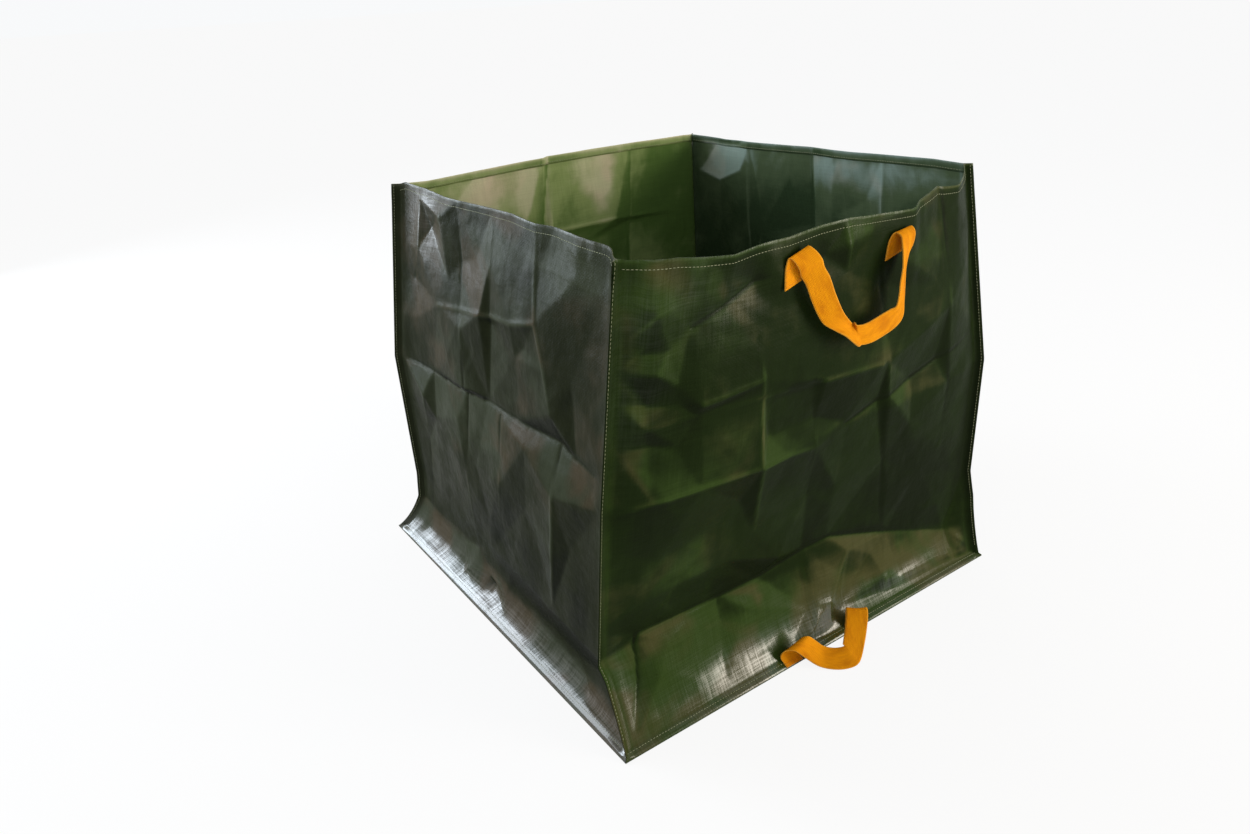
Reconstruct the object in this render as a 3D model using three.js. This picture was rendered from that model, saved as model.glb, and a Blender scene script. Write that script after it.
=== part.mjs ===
// A square, open-topped garden waste bag of woven plastic cloth. Four wall panels and a base panel
// are sewn together with their seam allowances standing outwards, and three webbing handles are
// sewn on. Millimetres, +Z up. The origin is the middle of the base, on the ground.

import * as THREE from 'three';
import { mergeVertices } from 'three/addons/utils/BufferGeometryUtils.js';

// Overall sizes
const bagHeight = 605;
const baseSide = 700;
const footSpread = 26;
const mouthTaper = 32;
const footHeight = 85;
const foldHeight = 330;

// Cloth and seams
const clothThickness = 0.8;
const layerGap = 0.3;
const seamAllowance = 12;
const hemDepth = 14;
const hemSpread = 15;
const finRise = 22;
const finLean = 3;
const besideFin = 6;

// Webbing handles
const webbingWidth = 30;
const webbingThickness = 1.3;
const webbingSeatGap = 0.5;
const webbingLift = 0.8;
const carryHandleSpan = 167;
const carryHandleDrop = 117;
const carryHandleBelowMouth = 18;
const carryPatchTop = 10;
const carryPatchBottom = 37;
const carryHandleOffCentre = 4;
const tippingHandleSpan = 122;
const tippingHandleReach = 58;
const tippingHandleOffCentre = -4;

// Fineness of the meshes
const wallColumns = 16;
const footRows = 4;
const lowerRows = 4;
const upperRows = 6;
const hemTurns = 4;
const webbingColumns = 2;
const webbingStepsPerStation = 2;

const seamHalf = baseSide / 2 - seamAllowance;
const waistHalf = seamHalf - footSpread;
const mouthHalf = waistHalf - mouthTaper;
const layerPitch = clothThickness + layerGap;
const foldRadius = layerPitch / 2;
const topOfCloth = bagHeight - foldRadius;
const hemBottom = bagHeight - hemDepth;
const seamHeight = layerPitch + clothThickness / 2;
const up = new THREE.Vector3(0, 0, 1);

// The corners, in order round the bag. Each names the way it points, how far its top has slumped
// from a true square, how far its foot is pushed sideways and how much higher its top stands.
const corners = [
  { side: [-1, -1], mouthSlump: [-11, -20], footPush: [-25, 25], mouthRise: 0 },
  { side: [1, -1], mouthSlump: [30, 12], footPush: [9, -9], mouthRise: 6 },
  { side: [1, 1], mouthSlump: [2, 2], footPush: [0, 0], mouthRise: 0 },
  { side: [-1, 1], mouthSlump: [-4, -12], footPush: [0, 0], mouthRise: 0 },
].map((corner) => ({
  side: new THREE.Vector2(...corner.side),
  mouthSlump: new THREE.Vector2(...corner.mouthSlump),
  footPush: new THREE.Vector2(...corner.footPush),
  mouthRise: corner.mouthRise,
}));
const pushHeight = 110;

// The walls, each between two corners from left to right as seen from outside. The mouth of a wall
// bows outwards and dips between its corners, more squarely than a round arch.
const mouthSquareness = 6;
const walls = [
  { name: 'front_wall', from: corners[0], to: corners[1], bow: 44, dip: 17 },
  { name: 'right_wall', from: corners[1], to: corners[2], bow: 4, dip: 0 },
  { name: 'back_wall', from: corners[2], to: corners[3], bow: 8, dip: 2 },
  { name: 'left_wall', from: corners[3], to: corners[0], bow: -8, dip: -4 },
];

const clothMaterial = new THREE.MeshStandardMaterial({ color: 0x2c4420, roughness: 0.38, metalness: 0 });
const baseMaterial = new THREE.MeshStandardMaterial({ color: 0x273b1d, roughness: 0.42, metalness: 0 });
const webbingMaterial = new THREE.MeshStandardMaterial({ color: 0xff9a0c, roughness: 0.8, metalness: 0 });

// Half the seam-to-seam side at a height: spread at the foot, upright to the fold, then tapering.
function halfSideAt(z) {
  const foot = THREE.MathUtils.smoothstep(z, seamHeight, footHeight);
  const taper = Math.max(0, (z - foldHeight) / (bagHeight - foldHeight));
  const upright = THREE.MathUtils.lerp(seamHalf, waistHalf, foot);
  return THREE.MathUtils.lerp(upright, mouthHalf, taper);
}

// Where a corner seam is at a height, seen from above.
function cornerAt(corner, z) {
  const slump = Math.max(0, (z - footHeight) / (bagHeight - footHeight));
  const push = z < pushHeight
    ? Math.max(0, z - seamHeight) / (pushHeight - seamHeight)
    : (bagHeight - z) / (bagHeight - pushHeight);
  return corner.side.clone().multiplyScalar(halfSideAt(z))
    .addScaledVector(corner.mouthSlump, slump)
    .addScaledVector(corner.footPush, push);
}

// The frame of a corner seam: out along its fin, and sideways onto the wall that starts or ends there.
function seamFrame(corner, sign) {
  const out = corner.side.clone().normalize();
  const sideways = new THREE.Vector2(-out.y, out.x).multiplyScalar(sign);
  return { out, sideways };
}

// Half the distance between the two walls' cloth at a seam: more beside the hem, which is thicker.
function seamStand(z) {
  const spread = THREE.MathUtils.clamp((z - hemBottom + hemSpread) / hemSpread, 0, 1);
  return layerPitch / 2 + spread * layerPitch;
}

// A point of a wall's cloth, at a share of the way across it and a height.
function wallPoint(wall, share, z) {
  const start = seamFrame(wall.from, 1);
  const end = seamFrame(wall.to, -1);
  const a = cornerAt(wall.from, z).addScaledVector(start.sideways, seamStand(z));
  const b = cornerAt(wall.to, z).addScaledVector(end.sideways, seamStand(z));
  const along = b.clone().sub(a).normalize();
  const outward = new THREE.Vector2(along.y, -along.x);
  const arch = 1 - (2 * share - 1) ** mouthSquareness;
  const climb = THREE.MathUtils.smoothstep(z, footHeight, bagHeight);
  const place = a.lerp(b, share).addScaledVector(outward, wall.bow * arch * climb);
  const rise = THREE.MathUtils.lerp(wall.from.mouthRise, wall.to.mouthRise, share);
  return new THREE.Vector3(place.x, place.y, z + climb * (rise - wall.dip * arch));
}

// The way a wall faces at a point of it, from its slopes across and up.
function wallNormal(wall, share, z) {
  const shareStep = 0.01;
  const heightStep = 1;
  const along = wallPoint(wall, share + shareStep, z).sub(wallPoint(wall, share - shareStep, z));
  const rising = wallPoint(wall, share, z + heightStep).sub(wallPoint(wall, share, z - heightStep));
  return along.cross(rising).normalize();
}

// A sheet of even thickness: a thin box whose grid is moved onto the points place(column, row).
function bentSheet(columns, rows, thickness, place) {
  const flat = new THREE.BoxGeometry(1, 1, 1, columns, rows, 1);
  flat.deleteAttribute('normal');
  flat.deleteAttribute('uv');
  const grid = Array.from({ length: columns + 1 }, (_, i) => (
    Array.from({ length: rows + 1 }, (_unused, j) => place(i, j))
  ));

  // The even direction through a point of a line, and how much a layer widens at its bend
  const through = (before, at, after) => {
    const first = at.clone().sub(before ?? after.clone().negate().addScaledVector(at, 2)).normalize();
    const last = (after ?? at.clone().multiplyScalar(2).sub(before)).clone().sub(at).normalize();
    const mean = first.add(last).multiplyScalar(0.5);
    return { direction: mean.clone().normalize(), widening: 1 / Math.max(0.5, mean.length()) };
  };

  const position = flat.getAttribute('position');
  for (let n = 0; n < position.count; n += 1) {
    const i = Math.round((position.getX(n) + 0.5) * columns);
    const j = Math.round((position.getY(n) + 0.5) * rows);
    const across = through(grid[i - 1]?.[j], grid[i][j], grid[i + 1]?.[j]);
    const along = through(grid[i][j - 1], grid[i][j], grid[i][j + 1]);
    const normal = across.direction.cross(along.direction).normalize();
    const offset = position.getZ(n) * thickness * across.widening * along.widening;
    const point = grid[i][j].clone().addScaledVector(normal, offset);
    position.setXYZ(n, point.x, point.y, point.z);
  }
  const merged = mergeVertices(flat, 1e-4);
  merged.computeVertexNormals();
  return merged;
}

// One wall panel. Its columns run from fin to fin. Its rows run from the cut edge of the base
// seam, up the wall and over the folded hem to the hem's cut edge inside.
function wallGeometry(wall) {
  const firstColumn = besideFin / (2 * waistHalf);
  const shares = [0, firstColumn];
  for (let i = 1; i < wallColumns; i += 1) {
    shares.push(i / wallColumns);
  }
  shares.push(1 - firstColumn, 1);

  const heights = [];
  for (let i = 0; i < footRows; i += 1) {
    heights.push(THREE.MathUtils.lerp(seamHeight, footHeight, i / footRows));
  }
  for (let i = 0; i < lowerRows; i += 1) {
    heights.push(THREE.MathUtils.lerp(footHeight, foldHeight, i / lowerRows));
  }
  for (let i = 0; i < upperRows; i += 1) {
    heights.push(THREE.MathUtils.lerp(foldHeight, hemBottom - hemSpread, i / upperRows));
  }
  heights.push(hemBottom - hemSpread, hemBottom, topOfCloth);

  const columns = shares.length + 1;
  const rows = heights.length + hemTurns + 1;
  const lastHeightRow = heights.length;

  // The panel at a height, with the two fins as its first and last columns. At the base seam the
  // fins lie down along the seam.
  const mainPoint = (i, z) => {
    const share = shares[THREE.MathUtils.clamp(i - 1, 0, shares.length - 1)];
    const stood = THREE.MathUtils.clamp((z - seamHeight) / finRise, 0, 1);
    const point = wallPoint(wall, share, z);
    if (i > 1 && i < columns - 1) {
      return point;
    }
    const corner = i <= 1 ? wall.from : wall.to;
    const next = wallPoint(wall, i <= 1 ? firstColumn : 1 - firstColumn, z).sub(point).normalize();
    if (i === 1 || i === columns - 1) {
      return point.addScaledVector(next, finLean * (1 - stood));
    }
    const { out } = seamFrame(corner, 1);
    return point.add(new THREE.Vector3(out.x, out.y, 0).multiplyScalar(seamAllowance * stood));
  };

  // Towards the inside of the bag, or on a fin towards the other wall's fin
  const inwardAt = (i, z) => {
    if (i === 0 || i === columns) {
      const { sideways } = i === 0 ? seamFrame(wall.from, 1) : seamFrame(wall.to, -1);
      return new THREE.Vector3(-sideways.x, -sideways.y, 0);
    }
    const tangent = mainPoint(Math.min(i + 1, columns), z).sub(mainPoint(i, z)).normalize()
      .add(mainPoint(i, z).sub(mainPoint(i - 1, z)).normalize());
    return new THREE.Vector3(-tangent.y, tangent.x, 0).normalize();
  };

  // The base seam's cut edge, mitred at the corners
  const allowancePoint = (i) => {
    const point = mainPoint(i, seamHeight);
    const a = cornerAt(wall.from, seamHeight);
    const b = cornerAt(wall.to, seamHeight);
    const along = b.clone().sub(a).normalize();
    const out = new THREE.Vector3(along.y, -along.x, 0).multiplyScalar(seamAllowance);
    const mitre = i <= 1 ? -seamAllowance : seamAllowance;
    const slide = i <= 1 || i >= columns - 1 ? mitre : 0;
    return point.add(out).add(new THREE.Vector3(along.x, along.y, 0).multiplyScalar(slide));
  };

  return bentSheet(columns, rows, clothThickness, (i, j) => {
    if (j === 0) {
      return allowancePoint(i);
    }
    if (j <= lastHeightRow) {
      return mainPoint(i, heights[j - 1]);
    }
    const turn = j - lastHeightRow;
    const inward = inwardAt(i, topOfCloth);
    if (turn <= hemTurns) {
      const angle = Math.PI * turn / hemTurns;
      return mainPoint(i, topOfCloth)
        .addScaledVector(inward, foldRadius * (1 - Math.cos(angle)))
        .addScaledVector(up, foldRadius * Math.sin(angle));
    }
    return mainPoint(i, hemBottom).addScaledVector(inwardAt(i, hemBottom), layerPitch);
  });
}

// The base panel, flat on the ground out to the cut edge of the base seam.
function baseGeometry() {
  const panel = new THREE.BoxGeometry(baseSide, baseSide, clothThickness, 2, 2, 1);
  panel.translate(0, 0, clothThickness / 2);
  return panel;
}

// A strap of webbing through stations, each with its middle and the direction across its width.
function webbingGeometry(stations) {
  const spline = (points) => new THREE.CatmullRomCurve3(points, false, 'centripetal');
  const middles = spline(stations.map((station) => station.middle));
  const acrosses = spline(stations.map((station) => station.across));
  const rows = (stations.length - 1) * webbingStepsPerStation;
  return bentSheet(webbingColumns, rows, webbingThickness, (i, j) => {
    const share = j / rows;
    const across = acrosses.getPoint(share).normalize();
    return middles.getPoint(share).addScaledVector(across, (i / webbingColumns - 0.5) * webbingWidth);
  });
}

// A carry handle on the outside of a wall. Each end is sewn flat below the mouth, rises, folds over
// and falls into a loop that hangs against the wall and twists on its way back up. A station holds
// the share of the half span, the share of the loop's drop, the distance out from the wall, and
// the direction across the strap as along, up and out.
function carryHandleGeometry(wall) {
  const seated = clothThickness / 2 + webbingSeatGap + webbingThickness / 2;
  const sewnEnd = carryPatchBottom / carryHandleDrop;
  const sewnTop = carryPatchTop / carryHandleDrop;
  const route = [
    [-1.04, sewnEnd, seated, [1, 0.15, 0]],
    [-1.04, sewnTop, seated + webbingLift, [1, 0.15, 0]],
    [-1.04, 0, 5, [1, 0.2, 0]],
    [-0.98, 0.04, 10, [1, 0.3, 0]],
    [-0.83, 0.16, 13, [1, 0.5, 0]],
    [-0.66, 0.4, 14, [1, 0.6, 0]],
    [-0.47, 0.65, 15, [1, 0.7, 0]],
    [-0.27, 0.81, 16, [0.9, 0.7, 0.2]],
    [0, 0.91, 17, [0.7, 0.9, 0.4]],
    [0.3, 1.01, 18, [0.1, 1, 0.1]],
    [0.64, 1.01, 18, [-0.1, 1, 0]],
    [0.92, 0.96, 19, [-0.6, 0.8, 0.3]],
    [1.05, 0.78, 20, [-0.8, 0.3, 0.5]],
    [1.06, 0.58, 20, [-0.8, 0.05, 0.6]],
    [1.06, 0.38, 19, [-0.8, 0, 0.6]],
    [1.08, 0.2, 16, [-0.95, 0, 0.3]],
    [1.1, 0.08, 11, [-1, -0.1, 0.1]],
    [1.09, 0.04, 5, [-1, -0.1, 0]],
    [1.04, sewnTop, seated + webbingLift, [-1, -0.1, 0]],
    [1.03, sewnEnd, seated, [-1, -0.1, 0]],
  ];
  const stations = route.map(([spanShare, dropShare, out, [along, rise, outwards]]) => {
    const z = bagHeight - carryHandleBelowMouth - dropShare * carryHandleDrop;
    const wallWidth = cornerAt(wall.from, z).distanceTo(cornerAt(wall.to, z));
    const share = 0.5 + (carryHandleOffCentre + spanShare * carryHandleSpan / 2) / wallWidth;
    const facing = wallNormal(wall, share, z);
    const sideways = up.clone().cross(facing).normalize();
    const rising = facing.clone().cross(sideways);
    return {
      middle: wallPoint(wall, share, z).addScaledVector(facing, out),
      across: sideways.multiplyScalar(along).addScaledVector(rising, rise)
        .addScaledVector(facing, outwards).normalize(),
    };
  });
  return webbingGeometry(stations);
}

// The tipping handle, low on the front. Both ends are sewn down on the front wall's base seam
// allowance. The strap rises against the foot, rolls forwards onto the ground and stands up in an
// arch on its way back. A station holds the share of the half span, the distance out from the
// seam line, the height, and the direction across the strap.
function tippingHandleGeometry() {
  const onSeam = seamHeight + clothThickness / 2 + webbingSeatGap + webbingThickness / 2;
  const onGround = webbingThickness / 2;
  const reach = tippingHandleReach - seamAllowance;
  const route = [
    [-1, seamAllowance, onSeam, [1, 0, 0]],
    [-1, 8, onSeam, [1, 0, 0]],
    [-1, 5, onSeam + webbingLift, [1, 0, 0]],
    [-1.02, 3, 12, [1, 0, 0.05]],
    [-1.03, 4, 22, [1, 0.05, 0.1]],
    [-1.02, 8, 31, [1, -0.1, 0.1]],
    [-0.9, 16, 33, [1, 0.3, 0]],
    [-0.72, 20, 23, [0.9, 0.6, 0.1]],
    [-0.5, 25, onGround + 7, [0.75, 0.8, 0.1]],
    [-0.26, seamAllowance + reach * 0.55, onGround + 1.5, [0.62, 0.8, 0.05]],
    [-0.02, seamAllowance + reach * 0.85, onGround + 6, [0.4, 0.85, 0.3]],
    [0.14, seamAllowance + reach * 0.9, onGround + 14, [-0.3, 0.9, 0.3]],
    [0.4, seamAllowance + reach * 0.65, 30, [-0.77, 0.6, 0.15]],
    [0.68, seamAllowance + reach * 0.3, 41, [-0.8, 0.55, 0.1]],
    [0.87, seamAllowance + 2, 41, [-0.9, 0.35, 0]],
    [0.97, 7, 29, [-1, 0.15, 0]],
    [1.01, 4, 14, [-1, 0.05, 0]],
    [1, 5, onSeam + webbingLift, [-1, 0, 0]],
    [1, 8, onSeam, [-1, 0, 0]],
    [1, seamAllowance, onSeam, [-1, 0, 0]],
  ];
  const stations = route.map(([spanShare, out, z, across]) => ({
    middle: new THREE.Vector3(
      tippingHandleOffCentre + spanShare * tippingHandleSpan / 2,
      -seamHalf - out,
      z,
    ),
    across: new THREE.Vector3(...across).normalize(),
  }));
  return webbingGeometry(stations);
}

function part(name, geometry, material) {
  const mesh = new THREE.Mesh(geometry, material);
  mesh.name = name;
  return mesh;
}

const bag = new THREE.Group();
for (const wall of walls) {
  bag.add(part(wall.name, wallGeometry(wall), clothMaterial));
}
bag.add(part('base_panel', baseGeometry(), baseMaterial));
bag.add(part('front_carry_handle', carryHandleGeometry(walls[0]), webbingMaterial));
bag.add(part('back_carry_handle', carryHandleGeometry(walls[2]), webbingMaterial));
bag.add(part('tipping_handle', tippingHandleGeometry(), webbingMaterial));

export default bag;
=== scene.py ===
import math

import bpy
import numpy as np
from mathutils import Matrix, Vector
from mathutils.geometry import delaunay_2d_cdt


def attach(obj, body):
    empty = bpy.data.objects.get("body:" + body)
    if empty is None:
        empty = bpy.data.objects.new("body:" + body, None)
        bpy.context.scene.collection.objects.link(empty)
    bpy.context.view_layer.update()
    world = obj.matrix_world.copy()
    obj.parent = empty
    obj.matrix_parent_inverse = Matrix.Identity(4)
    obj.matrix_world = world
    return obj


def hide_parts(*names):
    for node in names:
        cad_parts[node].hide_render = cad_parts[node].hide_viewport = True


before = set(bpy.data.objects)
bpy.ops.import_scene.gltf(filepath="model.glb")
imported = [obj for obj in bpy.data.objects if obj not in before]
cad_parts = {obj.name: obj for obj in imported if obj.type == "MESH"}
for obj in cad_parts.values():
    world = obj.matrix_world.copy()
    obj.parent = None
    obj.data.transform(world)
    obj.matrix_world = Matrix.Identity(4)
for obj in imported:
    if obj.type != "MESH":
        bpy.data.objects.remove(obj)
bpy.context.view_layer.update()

# ---- Wall panels -------------------------------------------------------------------------------
# Four sheets of laminated green woven plastic cloth. Neighbours are sewn with both allowances
# standing out as a fin, the foot is sewn to the base panel, and the mouth is hemmed inwards.
# Lengths are millimetres until a mesh is made.
BAG_HEIGHT, BASE_SIDE, ALLOWANCE = 605.0, 700.0, 12.0
# Two layers of cloth lie a pitch apart, and the walls spread below the hem to make room for it
CLOTH_THICKNESS, LAYER_PITCH = 0.6, 0.65
HEM_DEPTH, HEM_SPREAD = 14.0, 15.0
# The foot's top, the old fold that runs round the bag and where a corner is pushed the most
FOOT_HEIGHT, FOLD_HEIGHT, PUSH_HEIGHT = 85.0, 330.0, 110.0
SEAM_HALF = BASE_SIDE / 2 - ALLOWANCE
FOOT_SPREAD, MOUTH_TAPER = 26.0, 32.0
WAIST_HALF = SEAM_HALF - FOOT_SPREAD
SEAM_HEIGHT = 1.5
TOP_OF_CLOTH = BAG_HEIGHT - 0.5
HEM_BOTTOM = BAG_HEIGHT - HEM_DEPTH
MOUTH_SQUARENESS = 6
# The seam at the foot stands above the edge of its allowance by the lift, which dies away upwards
CORNER_LIFT, LIFT_FALL, LIFT_SHARES = 4.0, 30.0, (0, 0.05, 0.95, 1)
# How much of the rim's wander is used, how near the corners it ends and how fast it dies downwards
RIM_WANDER, RIM_END, WANDER_FALL = 0.7, 0.03, 2.5
WALL_COLUMNS, WALL_ROWS = 206, 204
FIRST_COLUMN = 6 / 624
# Rows or columns of points over an allowance, its four columns at a mitred corner and the hem fold
ALLOWANCE_SHARES = (1, 0.66, 0.33)
MITRE_SHARES = (1, 0.99, 0.98, 0.97)
FOLD_ANGLES = (30, 60, 90, 120, 150, 180)

# Which way each corner points, how its top has slumped, how its foot is pushed, how much higher
# its top stands and the height and fall of its foot, in order round the bag from the front left
CORNERS = [
    ((-1, -1), (-11, -20), (-25, 25), 0, (85, 160)),
    ((1, -1), (30, 12), (6, -6), 6, (150, 300)),
    ((1, 1), (2, 2), (0, 0), 0, (70, 45)),
    ((-1, 1), (-4, -12), (7, -5), 0, (64, 70)),
]


def smooth(value, start, end):
    t = np.clip((value - start) / (end - start), 0, 1)
    return t * t * (3 - 2 * t)


def foot_spread(z, height, fall):
    """How far the cloth spreads at a height, from the whole spread at the seam to none at all."""
    last = np.exp(-height / fall)
    return FOOT_SPREAD * np.clip((np.exp(-(z - SEAM_HEIGHT) / fall) - last) / (1 - last), 0, 1)


def corner_at(corner, z):
    """Where a corner's seam is at a height, seen from above."""
    side, slump, push, _, foot = (np.array(v, float) for v in CORNERS[corner])
    taper = MOUTH_TAPER * np.maximum(0, (z - FOLD_HEIGHT) / (BAG_HEIGHT - FOLD_HEIGHT))
    half = WAIST_HALF + foot_spread(z, *foot) - taper
    slumped = np.maximum(0, (z - FOOT_HEIGHT) / (BAG_HEIGHT - FOOT_HEIGHT))[..., None]
    pushed = np.where(
        z < PUSH_HEIGHT,
        np.maximum(0, z - SEAM_HEIGHT) / (PUSH_HEIGHT - SEAM_HEIGHT),
        (BAG_HEIGHT - z) / (BAG_HEIGHT - PUSH_HEIGHT),
    )[..., None]
    return side * half[..., None] + slump * slumped + push * pushed


def fin_direction(corner):
    side = np.array(CORNERS[corner][0], float)
    return side / np.linalg.norm(side)


def seam_stand(z):
    """How far a wall's edge stands from the middle of its fin, with room for the hem at the top."""
    return LAYER_PITCH * (0.5 + np.clip((z - HEM_BOTTOM + HEM_SPREAD) / HEM_SPREAD, 0, 1))


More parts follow.
